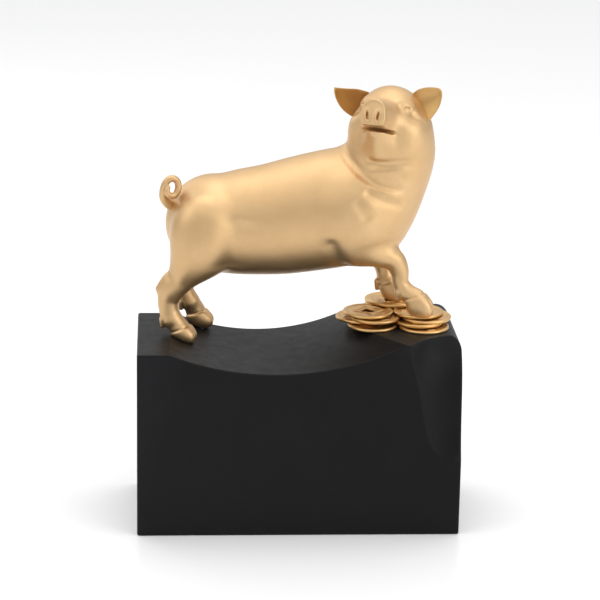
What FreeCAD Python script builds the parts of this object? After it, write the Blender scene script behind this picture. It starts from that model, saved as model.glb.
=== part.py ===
"""Coin bank: a gilt pig, its forefeet on stacks of cash coins, on a hollow black saddle-topped plinth.

Millimetres. X runs from the pig's tail to its chest, -Y is the display side, Z is up.
The origin is the centre of the plinth's underside, on which the bank stands.
The plinth holds the money: coins go in through a slot in its back wall and come out through
a round hole in its bottom plate, which a swinging cover shuts. Studs hold the pig's hooves.
"""
import FreeCAD, Part
import math
import os

import Sketcher

Vector = FreeCAD.Vector
Rotation = FreeCAD.Rotation
Placement = FreeCAD.Placement

doc = FreeCAD.newDocument("coin_bank")
sheet = doc.addObject("Spreadsheet::Sheet", "sizes")

DRIVING = {
    # plinth casting
    "plinth_wide": 163.0, "plinth_deep": 76.0, "plinth_top": 100.4, "plinth_wall": 5.0,
    "soft_edge": 1.1, "scoop_radius": 38.0, "edge_radius": 7.0, "roof_z": 79.0,
    "slot_long": 38.0, "slot_high": 5.2, "slot_z": 60.0,
    "lug_radius": 6.0, "lug_top": 20.0, "lug_x": 71.5, "lug_y": 28.0,
    # bottom plate and coin trap
    "plate_z": 3.0, "plate_thick": 2.0, "plate_gap": 0.3,
    "screw_radius": 2.0, "screw_free": 2.25, "screw_head": 3.9, "head_high": 1.6, "screw_end": 13.0,
    "trap_hole": 14.2, "trap_disc": 16.0, "pivot_x": -10.0, "pivot_y": -8.0, "trap_reach": 19.0,
    "cover_thick": 1.2, "run_gap": 0.05, "shoulder_radius": 2.6, "pivot_thread": 2.0,
    "pivot_head": 4.6, "pivot_low": 0.3, "washer_outer": 4.4, "spring_thick": 0.4, "arm_radius": 6.0,
    "tab_radius": 3.2, "tab_high": 0.9, "stop_radius": 1.5, "stop_z": 1.4, "stop_proud": 0.6,
    "trap_swing": 120.0, "drive_wide": 0.9, "drive_deep": 0.7,
    # coins
    "coin_radius": 12.8, "coin_thick": 1.7, "coin_rim": 1.6, "coin_sunk": 0.3,
    "coin_eye": 6.4, "coin_frame": 1.1,
    # studs that hold the hooves
    "stud_radius": 1.5, "stud_free": 1.7, "stud_in_hoof": 7.0, "stud_z": 73.0, "hind_stud_z": 93.0,
    "nut_across": 5.5, "nut_thick": 2.4, "washer_radius": 3.5, "washer_thick": 0.6,
    # pig castings
    "skin": 3.2, "spigot_gap": 0.05, "spigot_thick": 2.4, "spigot_long": 6.0,
    "peg_radius": 3.0, "pin_radius": 1.2, "tail_wire": 1.5, "tail_ring": 3.4,
}
V = {}


def cell(alias, value):
    """Keeps one number in the sheet under its alias."""
    row = len(V) + 1
    sheet.set(f"A{row}", alias)
    sheet.set(f"B{row}", f"{value:.6g}")
    sheet.setAlias(f"B{row}", alias)
    V[alias] = value


for alias, value in DRIVING.items():
    cell(alias, value)
doc.recompute()

UP = Vector(0, 0, 1)
DOWN = Vector(0, 0, -1)
FORE = Vector(1, 0, 0)
BACK = Vector(0, 1, 0)
made_parts = []


# ---------------------------------------------------------------- helpers
def s(expression):
    """Writes a sheet expression: every word that is an alias is read from the sheet."""
    words = sorted((w for w in V if w in expression), key=len, reverse=True)
    text = expression
    for i, word in enumerate(words):
        text = text.replace(word, f"<{i}>")
    for i, word in enumerate(words):
        text = text.replace(f"<{i}>", f"sizes.{word}")
    return text


def turned(direction):
    return Rotation(UP, Vector(direction))


def box(name, wide, deep, high, corner):
    made = doc.addObject("Part::Box", name)
    made.setExpression("Length", s(wide))
    made.setExpression("Width", s(deep))
    made.setExpression("Height", s(high))
    made.Placement = Placement(Vector(*corner), Rotation())
    return made


def cylinder(name, radius, high, start, direction=UP):
    made = doc.addObject("Part::Cylinder", name)
    made.setExpression("Radius", s(radius))
    made.setExpression("Height", s(high))
    made.Placement = Placement(Vector(*start), turned(direction))
    return made


def fuse(name, *shapes):
    made = doc.addObject("Part::MultiFuse", name)
    made.Shapes = list(shapes)
    return made


def cut(name, base, *tools):
    made = doc.addObject("Part::Cut", name)
    made.Base = base
    made.Tool = tools[0] if len(tools) == 1 else fuse(f"{name}_tools", *tools)
    return made


def common(name, first, second):
    made = doc.addObject("Part::MultiCommon", name)
    made.Shapes = [first, second]
    return made


def outline(name, edges):
    """Holds a closed wire made of Part edges."""
    made = doc.addObject("Part::Feature", name)
    made.Shape = Part.Wire(edges)
    return made


def extrude(name, profile, direction):
    made = doc.addObject("Part::Extrusion", name)
    made.Base = profile
    made.DirMode = "Custom"
    made.Dir = direction
    made.LengthFwd = direction.Length
    made.Solid = True
    return made


def loft(name, sections):
    made = doc.addObject("Part::Loft", name)
    made.Sections = sections
    made.Solid = True
    return made


def line(a, b):
    return Part.LineSegment(a, b).toShape()


def chain(points):
    return [line(a, b) for a, b in zip(points, points[1:])]


def sections(name, rows, toward, shrink="", skip_ends=False):
    """Elliptical sections along a centreline, whose radii are kept in the sheet.

    rows: (x, y, z, major radius, minor radius), the major axis pointing toward.
    shrink is taken from both radii, for the inside of a casting.
    """
    points = [Vector(*row[:3]) for row in rows]
    last = len(rows) - 1
    rings = []
    for i, row in enumerate(rows):
        key = f"{name}_{i}_"
        if key + "major" not in V:
            cell(key + "major", row[3])
            cell(key + "minor", row[4])
        if skip_ends and i in (0, last):
            continue
        along = (points[min(i + 1, last)] - points[max(i - 1, 0)]).normalize()
        major = (toward - along * toward.dot(along)).normalize()
        ring = doc.addObject("Part::Ellipse", key + (f"in{len(doc.Objects)}" if shrink else "out"))
        ring.setExpression("MajorRadius", s(key + "major" + shrink))
        ring.setExpression("MinorRadius", s(key + "minor" + shrink))
        ring.Placement = Placement(points[i], Rotation(major, along.cross(major), along, "XZY"))
        rings.append(ring)
    return rings


def lofted(name, rows, toward, shrink="", skip_ends=False):
    return loft(name + ("_inner" if shrink else "_form"), sections(name, rows, toward, shrink, skip_ends))


def half_space(name, point, normal, size=160.0):
    """A large block that fills the side of a plane its normal points to."""
    made = doc.addObject("Part::Box", name)
    made.Length = made.Width = made.Height = size
    turn = turned(normal)
    made.Placement = Placement(point + turn.multVec(Vector(-size / 2, -size / 2, 0)), turn)
    return made


def keep(name, shape):
    """Names a finished sub-part."""
    shape.Label = name
    made_parts.append(shape)
    return shape


# ---------------------------------------------------------------- plinth casting
SADDLE = [
    # y, start of the dip (x, z), lowest point (x, z), end of the dip on the landing (x)
    (-40.0, (-66.0, 95.3), (-11.0, 85.0), 55.0),
    (-18.0, (-65.0, 95.3), (-10.5, 85.6), 38.5),
    (40.0, (-62.0, 95.3), (-8.0, 87.3), 34.0),
]
SCOOP = [
    # z, x and y of the scoop circle's centre
    (106.0, 92.5, -50.0), (100.0, 88.2, -56.4), (90.0, 81.8, -65.6), (66.0, 79.8, -71.0),
    (45.0, 78.8, -74.2), (22.0, 81.5, -76.3),
]
CLEAR = 20.0


def saddle_profile(index, y, start, low, end_x):
    """One section of the air over the saddle: a shoulder, an arc, and the edge of the landing."""
    a, b = Vector(start[0], y, start[1]), Vector(low[0], y, low[1])
    c = Vector(end_x, y, V["plinth_top"])
    corners = [c, Vector(end_x, y, V["plinth_top"] + CLEAR), Vector(-100, y, V["plinth_top"] + CLEAR),
               Vector(-100, y, start[1]), a]
    return outline(f"saddle_{index}", [Part.Arc(a, b, c).toShape(), *chain(corners)])


def scoop_form(name, extra):
    rings = []
    for i, (z, x, y) in enumerate(SCOOP):
        ring = doc.addObject("Part::Circle", f"{name}_{i}")
        ring.setExpression("Radius", s("scoop_radius" + extra))
        ring.Placement = Placement(Vector(x, y, z), Rotation())
        rings.append(ring)
    return loft(name, rings)


def rounded_edge():
    """What the round along the plinth's right top edge takes off."""
    x, z, r = V["plinth_wide"] / 2, V["plinth_top"], V["edge_radius"]
    start, end = Vector(x - r, -60, z), Vector(x, -60, z - r)
    middle = Vector(x - r + r * math.sqrt(0.5), -60, z - r + r * math.sqrt(0.5))
    edges = [Part.Arc(start, middle, end).toShape(),
             *chain([end, Vector(x + 5, -60, z - r), Vector(x + 5, -60, z + 5),
                     Vector(x - r, -60, z + 5), start])]
    return extrude("edge_air", outline("edge_profile", edges), Vector(0, 120, 0))


half_x, half_y = V["plinth_wide"] / 2, V["plinth_deep"] / 2
block = box("block", "plinth_wide", "plinth_deep", "plinth_top", (-half_x, -half_y, 0))
saddle_air = loft("saddle_air", [saddle_profile(i, *row) for i, row in enumerate(SADDLE)])
plinth_sharp = cut("plinth_sharp", block, saddle_air, scoop_form("scoop_air", ""), rounded_edge())
doc.recompute()
plinth_form = doc.addObject("Part::Fillet", "plinth_form")
plinth_form.Base = plinth_sharp
plinth_form.Edges = [(i + 1, V["soft_edge"], V["soft_edge"]) for i in range(len(plinth_sharp.Shape.Edges))]

wall = V["plinth_wall"]
chamber_box = box("chamber_box", "plinth_wide - 2 * plinth_wall", "plinth_deep - 2 * plinth_wall",
                  "roof_z + 10", (-half_x + wall, -half_y + wall, -10))
chamber = cut("chamber", chamber_box, scoop_form("scoop_wall", " + plinth_wall"))
LUGS = [(sx * V["lug_x"], sy * V["lug_y"]) for sx in (-1, 1) for sy in (-1, 1)]
lugs = [cylinder(f"lug_{i}", "lug_radius", "lug_top - plate_z - plate_thick",
                 (x, y, V["plate_z"] + V["plate_thick"])) for i, (x, y) in enumerate(LUGS)]
tapped = [cylinder(f"tapped_{i}", "screw_radius", "screw_end", (x, y, 1.0)) for i, (x, y) in enumerate(LUGS)]
coin_slot = box("coin_slot", "slot_long", "3 * plinth_wall", "slot_high",
                (-V["slot_long"] / 2, half_y - 2 * wall, V["slot_z"]))

# ---------------------------------------------------------------- pig: outer forms
TORSO = [
    # x, z, half the height, half the width
    (-67.6, 152.0, 5.0, 4.5), (-66.5, 151.8, 11.5, 10.5), (-62.5, 151.5, 17.6, 16.2),
    (-55.0, 151.3, 22.0, 20.5), (-42.0, 151.5, 25.0, 23.4), (-24.0, 153.3, 27.0, 24.4),
    (-6.0, 155.5, 28.9, 25.4), (10.0, 157.8, 30.3, 26.0), (26.0, 160.3, 30.3, 26.2),
    (38.0, 161.0, 28.2, 24.8), (48.0, 161.0, 22.5, 20.5), (54.0, 160.8, 16.0, 15.0), (57.5, 160.5, 8.0, 7.5),
]
NECK = [
    (40.0, 9.0, 158.0, 21.0, 19.0), (43.0, 8.5, 170.0, 22.6, 21.0),
    (45.0, 7.5, 181.0, 22.2, 21.0), (46.4, 6.5, 190.5, 21.8, 20.6),
    (46.6, 5.5, 199.0, 20.4, 19.0), (46.2, 5.0, 208.0, 17.4, 16.5),
    (45.4, 5.0, 216.0, 11.5, 11.0), (44.8, 5.0, 221.5, 3.5, 3.5),
]


def mid(x):
    """The Y of the pig's middle plane, which stands a little askew on the plinth."""
    return 10.5 - 0.055 * x


SKULL = Vector(46.0, 5.0, 205.5)
SNOUT = Vector(33.8, -22.0, 214.0)
FACE = (SNOUT - SKULL).normalize()
ACROSS = FACE.cross(UP).normalize()
MUZZLE = [(-8.0, 14.0, 12.5), (0.0, 18.5, 16.0), (9.0, 16.5, 14.5), (17.0, 12.5, 11.5),
          (24.0, 9.2, 8.6), (29.0, 7.8, 7.2), (32.0, 7.8, 7.0)]
SEAM_POINT = Vector(22.0, 10.0, 196.0)
SEAM_NORMAL = Vector(0.815, -0.215, 0.537).normalize()

torso_rows = [(x, mid(x), z, high, half) for x, z, high, half in TORSO]
muzzle_rows = [(*(SKULL + FACE * d), across, high) for d, across, high in MUZZLE]
trunk = fuse("trunk", lofted("torso", torso_rows, UP), lofted("neck", NECK, FORE))
pig_form = fuse("pig_form", trunk, lofted("muzzle", muzzle_rows, ACROSS))


def hollow(name, shrink):
    """The pig's inside at a depth below its surface."""
    return fuse(name, loft(name + "_torso", sections("torso", torso_rows, UP, shrink, True)),
                loft(name + "_neck", sections("neck", NECK, FORE, shrink, True)))


inside = hollow("inside", " - skin")
spigot_outer = hollow("spigot_outer", " - skin - spigot_gap")
spigot_inner = hollow("spigot_inner", " - skin - spigot_gap - spigot_thick")
head_side = half_space("head_side", SEAM_POINT, SEAM_NORMAL)
body_side = half_space("body_side", SEAM_POINT, SEAM_NORMAL * -1)
spigot_side = half_space("spigot_side", SEAM_POINT - SEAM_NORMAL * V["spigot_long"], SEAM_NORMAL)

# ---------------------------------------------------------------- pig: legs
LEGS = {
    # the stud's X and Y, then rows (x, y, z, radius along X, radius across) from the trunk to the hoof
    "hind_leg_right": ((-58.0, 0.0), [
        (-48.0, 5.0, 154.0, 12.0, 9.0), (-52.0, 1.0, 144.0, 13.0, 10.0),
        (-56.0, -0.5, 134.5, 10.8, 8.8), (-61.0, 0.5, 125.5, 7.8, 6.6), (-66.0, 2.0, 117.0, 5.8, 5.2),
        (-66.4, 2.5, 110.5, 4.7, 4.5), (-64.6, 1.8, 103.5, 4.7, 4.5), (-61.5, 0.8, 98.5, 6.0, 5.4),
        (-58.2, 0.0, 94.0, 7.2, 6.2), (-57.0, 0.0, 90.0, 7.4, 6.4)]),
    "hind_leg_left": ((-48.5, 28.0), [
        (-46.0, 21.0, 154.0, 13.0, 9.0), (-48.0, 25.0, 143.0, 12.0, 9.0),
        (-51.5, 27.0, 132.0, 9.8, 8.2), (-56.5, 28.0, 121.0, 7.0, 6.2), (-59.6, 28.5, 113.5, 5.6, 5.2),
        (-56.8, 28.5, 106.5, 4.7, 4.5), (-53.0, 28.3, 101.0, 5.4, 5.0),
        (-49.8, 28.0, 96.0, 7.0, 6.2), (-48.0, 28.0, 91.0, 7.4, 6.4)]),
    "front_leg_right": ((61.0, -6.5), [
        (34.0, -5.0, 152.0, 12.0, 8.0), (40.0, -6.0, 142.5, 9.5, 7.6), (46.5, -6.0, 137.0, 7.4, 7.0),
        (51.0, -5.0, 130.5, 6.4, 6.2), (52.5, -4.5, 123.0, 5.2, 5.0), (55.0, -4.5, 117.0, 5.2, 5.0),
        (58.5, -5.5, 112.0, 6.4, 5.8), (61.0, -6.5, 107.5, 7.6, 6.6), (62.5, -7.0, 103.0, 8.0, 6.8)]),
    "front_leg_left": ((48.5, 19.0), [
        (36.0, 24.0, 148.0, 11.0, 8.0), (39.5, 24.0, 138.0, 8.4, 7.2), (42.0, 23.0, 129.0, 6.6, 6.2),
        (43.5, 22.0, 121.0, 5.2, 5.0), (45.0, 20.5, 114.5, 5.6, 5.4),
        (47.5, 19.5, 110.5, 6.6, 6.2), (49.0, 18.5, 106.5, 7.4, 6.6)]),
}
COIN_LAYERS = {
    # centres of the coins from the landing upwards, and their turn about Z
    "coin_left": [(38.0, -3.5, 20), (32.5, 5.0, 50), (39.5, -1.0, 75), (36.0, 2.3, 8)],
    "coin_right": [(63.7, -7.0, 65), (61.8, -2.6, 30), (65.5, -0.6, 12), (61.8, 2.3, 48)],
    "coin_rear": [(49.0, 25.1, 40), (48.7, 25.1, 15), (49.4, 25.2, 70), (49.0, 25.1, 25)],
    "coin_top": [(50.5, 18.5, 55)],
}
stack_top = V["plinth_top"] + 4 * V["coin_thick"]
FOOT_Z = {"front_leg_right": stack_top, "front_leg_left": stack_top + V["coin_thick"]}

studs, stud_holes = {}, []
for name, ((x, y), _) in LEGS.items():
    foot = FOOT_Z.get(name, V["hind_stud_z"])
    length = f"{foot} + stud_in_hoof - stud_z"
    studs[name] = cylinder(name + "_stud", "stud_radius", length, (x, y, V["stud_z"]))
    stud_holes.append(cylinder(name + "_clearance", "stud_free", "roof_z", (x, y, V["roof_z"] / 2)))
clearance = fuse("stud_clearance", *stud_holes)

pegs = []


def peg(name, radius, start, end):
    """A round peg on a limb, from inside it to inside the casting that it is set into."""
    start, end = Vector(*start[:3]), Vector(*end[:3])
    pegs.append(cylinder(name + "_hole", radius, f"{(end - start).Length}", start, end - start))
    return cylinder(name + "_peg", radius, f"{(end - start).Length}", start, end - start)


for name, (_, rows) in LEGS.items():
    form = lofted(name, rows, FORE)
    ground = half_space(name + "_ground", Vector(0, 0, FOOT_Z[name]), DOWN) if name in FOOT_Z else plinth_form
    outside = cut(name + "_outside", form, trunk, ground, studs[name])
    keep(name, fuse(name + "_cast", outside, peg(name, "peg_radius", rows[3], rows[1])))

# ---------------------------------------------------------------- pig: ears and tail
EARS = {
    "ear_right": (Vector(4.9, -4.0, 14.4), [
        (33.0, 12.0, 211.0, 6.5, 2.6), (27.5, 11.2, 213.5, 7.4, 2.4), (23.0, 10.0, 216.5, 5.8, 1.8),
        (19.5, 9.0, 219.2, 3.2, 1.2), (17.3, 8.2, 221.2, 0.9, 0.6)]),
    "ear_left": (Vector(-7.3, 7.0, 11.9), [
        (56.0, 2.0, 210.5, 5.5, 2.6), (61.0, 0.5, 214.0, 7.2, 2.5), (64.5, 0.2, 217.2, 5.6, 1.8),
        (67.0, 0.0, 220.2, 3.2, 1.2), (68.7, 0.0, 222.2, 0.9, 0.6)]),
}
for name, (toward, rows) in EARS.items():
    leaf = cut(name + "_leaf", lofted(name, rows, toward), pig_form)
    keep(name, fuse(name + "_cast", leaf, peg(name, "pin_radius", rows[2], rows[0])))

TAIL_CENTRE = Vector(-66.0, 8.5, 171.0)
TAIL_AXIS = Vector(0.3, -0.85, 0.42)
TAIL_ROOT = (Vector(-61.5, 12.5, 161.5), Vector(-67.8, 9.6, 168.4))

curl = doc.addObject("Part::Torus", "tail_curl")
curl.setExpression("Radius1", s("tail_ring"))
curl.setExpression("Radius2", s("tail_wire"))
curl.Placement = Placement(TAIL_CENTRE, turned(TAIL_AXIS))
root = doc.addObject("Part::Cone", "tail_root")
root.setExpression("Radius1", s("tail_wire + 1.6"))
root.setExpression("Radius2", s("tail_wire + 0.2"))
root.Height = (TAIL_ROOT[1] - TAIL_ROOT[0]).Length
root.Placement = Placement(TAIL_ROOT[0], turned(TAIL_ROOT[1] - TAIL_ROOT[0]))
tail_peg = peg("tail", "pin_radius", TAIL_ROOT[1], TAIL_ROOT[0])
stem = fuse("tail_stem", cut("tail_outside", root, trunk), tail_peg)
keep("tail", fuse("tail_cast", stem, cut("tail_loop", curl, trunk)))

# ---------------------------------------------------------------- pig: body and head castings
shell = cut("shell", pig_form, inside, *pegs)
keep("pig_body", common("body_cast", shell, body_side))
spigot = common("spigot", common("spigot_band", cut("spigot_tube", spigot_outer, spigot_inner), body_side),
                spigot_side)
head_shell = common("head_shell", cut("head_hollowed", pig_form, spigot_inner, *pegs), head_side)
keep("pig_head", fuse("head_cast", head_shell, spigot))

# ---------------------------------------------------------------- coins
def coin(name, x, y, z, turn):
    """A cash coin: a raised rim, a square eye with a raised frame, and a hole where a stud passes."""
    disc = cylinder(name + "_disc", "coin_radius", "coin_thick", (x, y, z))
    eye = box(name + "_eye", "coin_eye", "coin_eye", "coin_thick", (0, 0, 0))
    frame = box(name + "_frame", "coin_eye + 2 * coin_frame", "coin_eye + 2 * coin_frame", "coin_thick",
                (0, 0, 0))
    for square, half in ((eye, V["coin_eye"] / 2), (frame, V["coin_eye"] / 2 + V["coin_frame"])):
        turned_square = Rotation(UP, turn)
        corner = Vector(x, y, z) + turned_square.multVec(Vector(-half, -half, 0))
        square.Placement = Placement(corner, turned_square)
    field_top = cylinder(name + "_field_top", "coin_radius - coin_rim", "coin_sunk",
                         (x, y, z + V["coin_thick"] - V["coin_sunk"]))
    field_low = cylinder(name + "_field_low", "coin_radius - coin_rim", "coin_sunk", (x, y, z))
    fields = cut(name + "_fields", fuse(name + "_both", field_top, field_low), frame)
    return cut(name + "_struck", disc, fields, eye, clearance)


for stack, layers in COIN_LAYERS.items():
    first = V["plinth_top"] if stack != "coin_top" else stack_top
    for i, (x, y, turn) in enumerate(layers):
        name = stack if stack == "coin_top" else f"{stack}_{i + 1}"
        keep(name, coin(name, x, y, first + i * V["coin_thick"], turn))

# ---------------------------------------------------------------- plinth: casting, plate and trap
keep("plinth", cut("plinth_cast", fuse("plinth_body", cut("plinth_shell", plinth_form, chamber), *lugs),
                   coin_slot, clearance, fuse("tapped_holes", *tapped)))


def body_with_sketch(name, z):
    """A PartDesign body with an empty sketch on its XY plane, raised to z."""
    body = doc.addObject("PartDesign::Body", name)
    body.Placement = Placement(Vector(0, 0, z), Rotation())
    plane = next(f for f in body.Origin.OriginFeatures if f.Role == "XY_Plane")
    sketch = body.newObject("Sketcher::SketchObject", name + "_sketch")
    sketch.AttachmentSupport = (plane, "")
    sketch.MapMode = "FlatFace"
    return body, sketch


def pad(body, sketch, length):
    made = body.newObject("PartDesign::Pad", body.Name + "_pad")
    made.Profile = sketch
    made.setExpression("Length", s(length))
    sketch.Visibility = False
    return made


def circle(sketch, x, y, radius):
    index = sketch.addGeometry(Part.Circle(Vector(x, y, 0), UP, V[radius]), False)
    number = sketch.addConstraint(Sketcher.Constraint("Radius", index, V[radius]))
    sketch.setExpression(f"Constraints[{number}]", s(radius))


def rectangle(sketch, wide, deep):
    """A rectangle centred on the origin, whose sides follow two sheet expressions."""
    x, y = wide[0] / 2, deep[0] / 2
    corners = [Vector(-x, -y, 0), Vector(x, -y, 0), Vector(x, y, 0), Vector(-x, y, 0)]
    for a, b in zip(corners, corners[1:] + corners[:1]):
        sketch.addGeometry(Part.LineSegment(a, b), False)
    for i in range(4):
        sketch.addConstraint(Sketcher.Constraint("Coincident", i, 2, (i + 1) % 4, 1))
        sketch.addConstraint(Sketcher.Constraint("Vertical" if i % 2 else "Horizontal", i))
    sketch.addConstraint(Sketcher.Constraint("Symmetric", 0, 1, 2, 1, -1, 1))
    for kind, edge, (value, expression) in (("DistanceX", 0, wide), ("DistanceY", 1, deep)):
        number = sketch.addConstraint(Sketcher.Constraint(kind, edge, 1, edge, 2, value))
        sketch.setExpression(f"Constraints[{number}]", s(expression))


pivot = (V["pivot_x"], V["pivot_y"])
trap = (V["pivot_x"] + V["trap_reach"], V["pivot_y"])
swing = math.radians(V["trap_swing"])
open_centre = (pivot[0] + V["trap_reach"] * math.cos(swing), pivot[1] + V["trap_reach"] * math.sin(swing))
stop_offset = V["trap_disc"] + V["stop_radius"] + 3 * V["run_gap"]
STOPS = [(trap[0], trap[1] - stop_offset),
         (open_centre[0] - stop_offset * math.sin(swing), open_centre[1] + stop_offset * math.cos(swing))]

less = 2 * wall + 2 * V["plate_gap"]
inner_wide = (V["plinth_wide"] - less, "plinth_wide - 2 * plinth_wall - 2 * plate_gap")
inner_deep = (V["plinth_deep"] - less, "plinth_deep - 2 * plinth_wall - 2 * plate_gap")
plate, sketch = body_with_sketch("base_plate", V["plate_z"])
rectangle(sketch, inner_wide, inner_deep)
circle(sketch, *trap, "trap_hole")
circle(sketch, *pivot, "pivot_thread")
for x, y in LUGS:
    circle(sketch, x, y, "screw_free")
for x, y in STOPS:
    circle(sketch, x, y, "stop_radius")
pad(plate, sketch, "plate_thick")
keep("base_plate", plate)

screws = []
for i, (x, y) in enumerate(LUGS):
    head = cylinder(f"screw_head_{i}", "screw_head", "head_high", (x, y, V["plate_z"] - V["head_high"]))
    shaft = cylinder(f"screw_shaft_{i}", "screw_radius", "screw_end + 1 - plate_z", (x, y, V["plate_z"]))
    slot = box(f"screw_slot_{i}", "2 * screw_head", "drive_wide", "drive_deep",
               (x - V["screw_head"], y - V["drive_wide"] / 2, V["plate_z"] - V["head_high"]))
    screws.append(cut(f"screw_{i}", fuse(f"screw_solid_{i}", head, shaft), slot))
keep("plate_screws", fuse("screw_set", *screws))

cover_top = V["plate_z"] - V["run_gap"]
cover_low = cover_top - V["cover_thick"]
disc = cylinder("cover_disc", "trap_disc", "cover_thick", (*trap, cover_low))
eye = cylinder("cover_eye", "arm_radius", "cover_thick", (*pivot, cover_low))
arm = box("cover_arm", "trap_reach", "2 * arm_radius", "cover_thick",
          (pivot[0], pivot[1] - V["arm_radius"], cover_low))
tab = cylinder("cover_tab", "tab_radius", "tab_high",
               (trap[0] + V["trap_disc"] - 2 * V["tab_radius"], trap[1], cover_low - V["tab_high"]))
bore = cylinder("cover_bore", "shoulder_radius + run_gap", "cover_thick", (*pivot, cover_low))
keep("trap_cover", cut("cover_cut", fuse("cover_solid", disc, eye, arm, tab), bore))

washer_top = cover_low - V["run_gap"]
washer_low = washer_top - V["spring_thick"]
washer = cylinder("washer_disc", "washer_outer", "spring_thick", (*pivot, washer_low))
washer_bore = cylinder("washer_bore", "shoulder_radius", "spring_thick", (*pivot, washer_low))
keep("pivot_washer", cut("washer_cut", washer, washer_bore))
pivot_head = cylinder("pivot_head_disc", "pivot_head", f"{washer_low} - pivot_low", (*pivot, V["pivot_low"]))
pivot_shoulder = cylinder("pivot_shoulder", "shoulder_radius", f"{V['plate_z'] - washer_low}",
                          (*pivot, washer_low))
pivot_shaft = cylinder("pivot_shaft", "pivot_thread", "plate_thick + nut_thick + 1", (*pivot, V["plate_z"]))
pivot_slot = box("pivot_slot", "2 * pivot_head", "drive_wide", "drive_deep",
                 (pivot[0] - V["pivot_head"], pivot[1] - V["drive_wide"] / 2, V["pivot_low"]))
pivot_solid = fuse("pivot_solid", pivot_head, pivot_shoulder, pivot_shaft)
keep("pivot_screw", cut("pivot_cut", pivot_solid, pivot_slot))


def hexagon(name, across, thick, centre, bore_radius):
    """A hexagon nut standing on centre."""
    prism = doc.addObject("Part::Prism", name + "_prism")
    prism.Polygon = 6
    prism.setExpression("Circumradius", s(across) + " / sqrt(3)")
    prism.setExpression("Height", s(thick))
    prism.Placement = Placement(Vector(*centre), Rotation())
    return cut(name, prism, cylinder(name + "_bore", bore_radius, thick, centre))


keep("pivot_nut", hexagon("pivot_nut_cut", "nut_across + 1.5", "nut_thick",
                          (*pivot, V["plate_z"] + V["plate_thick"]), "pivot_thread"))
pin_long = "plate_z + plate_thick + stop_proud - stop_z"
pins = [cylinder(f"stop_{i}", "stop_radius", pin_long, (x, y, V["stop_z"])) for i, (x, y) in enumerate(STOPS)]
keep("stop_pins", fuse("stop_set", *pins))

# ---------------------------------------------------------------- studs, washers and nuts inside
keep("hoof_studs", fuse("stud_set", *studs.values()))
washers, nuts = [], []
under = V["roof_z"] - V["washer_thick"]
for name, ((x, y), _) in LEGS.items():
    ring = cylinder(name + "_washer_disc", "washer_radius", "washer_thick", (x, y, under))
    bore = cylinder(name + "_washer_bore", "stud_radius", "washer_thick", (x, y, under))
    washers.append(cut(name + "_washer", ring, bore))
    nuts.append(hexagon(name + "_nut", "nut_across", "nut_thick", (x, y, under - V["nut_thick"]),
                        "stud_radius"))
keep("hoof_washers", fuse("washer_set", *washers))
keep("hoof_nuts", fuse("nut_set", *nuts))

# ---------------------------------------------------------------- checks and export
doc.recompute()
for item in doc.Objects:
    if "Invalid" in item.State or "Error" in item.State:
        raise RuntimeError(f"{item.Name} failed: {item.State}")
os.makedirs("parts", exist_ok=True)
for part in made_parts:
    shape = part.Shape
    if shape.isNull() or not shape.isValid() or not shape.Solids:
        raise RuntimeError(f"{part.Label} has no valid solid")
    shape.exportStep(f"parts/{part.Label}.step")
    print(f"{part.Label:18s} solids {len(shape.Solids)}  volume {shape.Volume:10.1f} mm3")
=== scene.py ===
"""Looks of the coin bank: a satin gilt pig on a black saddle-topped plinth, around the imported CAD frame.

The pig is sculpted as one smooth field in millimetres, from which each casting is cut and meshed,
so that the seams between the castings stay as fine as brazed and filed ones.
"""
import math

import bmesh
import bpy
import numpy as np
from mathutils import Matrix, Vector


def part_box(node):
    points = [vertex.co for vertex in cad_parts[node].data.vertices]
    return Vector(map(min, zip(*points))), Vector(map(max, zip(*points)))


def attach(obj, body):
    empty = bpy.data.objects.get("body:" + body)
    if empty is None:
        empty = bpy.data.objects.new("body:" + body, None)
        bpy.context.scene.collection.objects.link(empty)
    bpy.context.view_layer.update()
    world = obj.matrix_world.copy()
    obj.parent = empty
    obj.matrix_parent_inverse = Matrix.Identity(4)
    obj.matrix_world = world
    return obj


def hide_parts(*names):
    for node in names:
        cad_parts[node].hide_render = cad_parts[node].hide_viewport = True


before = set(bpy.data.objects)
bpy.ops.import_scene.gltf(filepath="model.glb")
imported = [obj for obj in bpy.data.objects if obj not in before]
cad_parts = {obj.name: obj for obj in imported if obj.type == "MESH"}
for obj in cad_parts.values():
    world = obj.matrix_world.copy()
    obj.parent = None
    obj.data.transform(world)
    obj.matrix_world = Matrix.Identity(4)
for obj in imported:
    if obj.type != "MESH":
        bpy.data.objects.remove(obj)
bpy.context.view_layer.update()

import openvdb
from mathutils import Matrix, Vector
from mathutils.bvhtree import BVHTree

MM = 0.001
BANK = "bank"

# ---------------------------------------------------------------- sculpting kit (millimetres)
F32 = np.float32


def vec(*v):
    return np.array(v, dtype=F32)


def unit(v):
    return np.asarray(v, dtype=F32) / np.linalg.norm(v)


def smin(a, b, k):
    """Union of two fields with a fillet of about k."""
    h = np.maximum(k - np.abs(a - b), 0) / k
    return np.minimum(a, b) - h * h * k * 0.25


def smax(a, b, k):
    return -smin(-a, -b, k)


def ramp(x, low, high):
    """0 below low, 1 above high, and a smooth step between."""
    t = np.clip((x - low) / (high - low), 0, 1)
    return t * t * (3 - 2 * t)


def segment(P, a, b, ra, rb):
    """A round bar from a to b whose radius goes from ra to rb."""
    a, b = vec(*a), vec(*b)
    ab = b - a
    h = np.clip(((P - a) @ ab) / (ab @ ab), 0, 1)
    return np.linalg.norm(P - a - h[:, None] * ab, axis=1) - (ra + (rb - ra) * h)


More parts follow.
